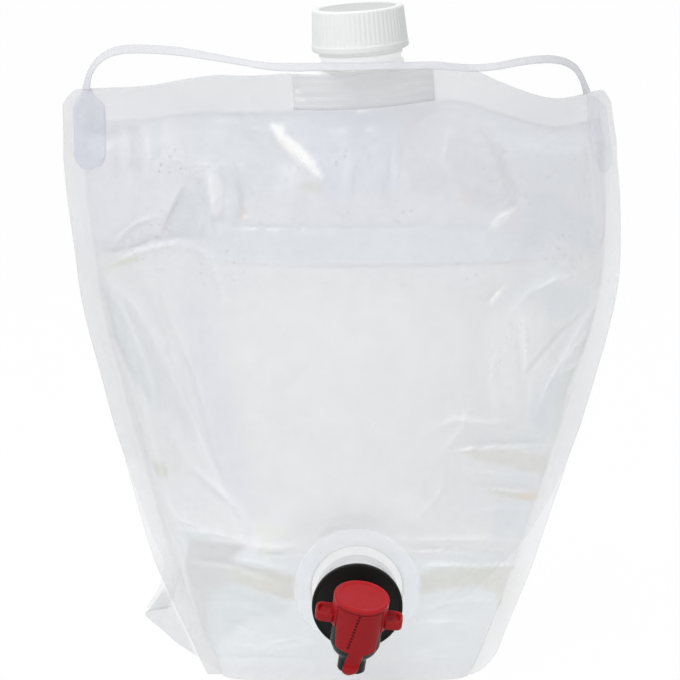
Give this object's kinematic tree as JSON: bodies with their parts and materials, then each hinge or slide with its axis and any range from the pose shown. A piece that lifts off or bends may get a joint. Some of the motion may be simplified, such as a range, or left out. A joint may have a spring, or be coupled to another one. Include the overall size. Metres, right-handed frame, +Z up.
{
  "type": "collapsible water carrier",
  "caption": "Clear film stand-up water bag with a bottom gusset, a welded carry strap, a screw-capped filling spout and a quarter-turn tap low on the front.",
  "frame": {"origin": "the middle of the whole part's bounding box, seen from above, on the surface it stands on", "axes": "+Z up; -Y is the front, with the tap; +X is to the right as seen from the front"},
  "size_m": [0.2872, 0.1904, 0.3387],
  "materials": {
    "clear_film": "clear, glossy, creased film",
    "strap_film": "bluish translucent, smooth",
    "white_plastic": "satin moulded",
    "liner_foam": "fine foam",
    "natural_plastic": "milky translucent, smooth",
    "black_plastic": "satin moulded",
    "red_plastic": "satin moulded",
    "stem_plastic": "satin moulded",
    "valve_rubber": "soft, matt"
  },
  "bodies": {
    "bag": {"front_panel": "clear_film", "back_panel": "clear_film", "bottom_gusset": "clear_film", "strap_left_end": "strap_film", "strap_right_end": "strap_film", "spout_fitment": "white_plastic", "tap_gland": "natural_plastic", "tap_body": "black_plastic", "valve_diaphragm": "valve_rubber"},
    "strap": {"strap_band": "strap_film"},
    "liner": {"cap_liner": "liner_foam"},
    "cap": {"screw_cap": "white_plastic"},
    "handle": {"tap_handle": "red_plastic"},
    "shroud": {"tamper_shroud": "red_plastic"},
    "valve": {"valve_stem": "stem_plastic", "outlet_seal": "valve_rubber"}
  },
  "joints": [
    {"name": "strap_swing", "type": "hinge", "parent": "bag", "child": "strap", "pos_m": [-0.1297, 0.02825, 0.2957], "axis": [0.9816, 0.1856, -0.0444], "range_deg": [0, 40], "stiffness_Nm_per_rad": 0.03},
    {"name": "cap_lift", "type": "slide", "parent": "bag", "child": "liner", "axis": [-0.0697, 0.0523, 0.9962], "range_m": [0, 0.00601]},
    {"name": "cap_turn", "type": "hinge", "parent": "liner", "child": "cap", "pos_m": [0.00729, 0.03201, 0.31569], "axis": [-0.0697, 0.0523, 0.9962], "range_deg": [0, 540]},
    {"name": "tap_turn", "type": "hinge", "parent": "bag", "child": "handle", "pos_m": [0.00561, -0.07932, 0.04801], "axis": [0.1392, -0.0518, 0.9889], "range_deg": [0, 90]},
    {"name": "shroud_pull", "type": "slide", "parent": "handle", "child": "shroud", "axis": [0, -0.9986, -0.0523], "range_m": [0, 0.035]},
    {"name": "stem_lift", "type": "slide", "parent": "handle", "child": "valve", "axis": [0.1392, -0.0518, 0.9889], "range_m": [0, 0.00441], "deforming": ["valve_diaphragm"]}
  ],
  "couplings": [
    {"joint": "cap_lift", "follows": "cap_turn", "m_per_rad": 0.00063662},
    {"joint": "stem_lift", "follows": "tap_turn", "m_per_rad": 0.0028011}
  ]
}
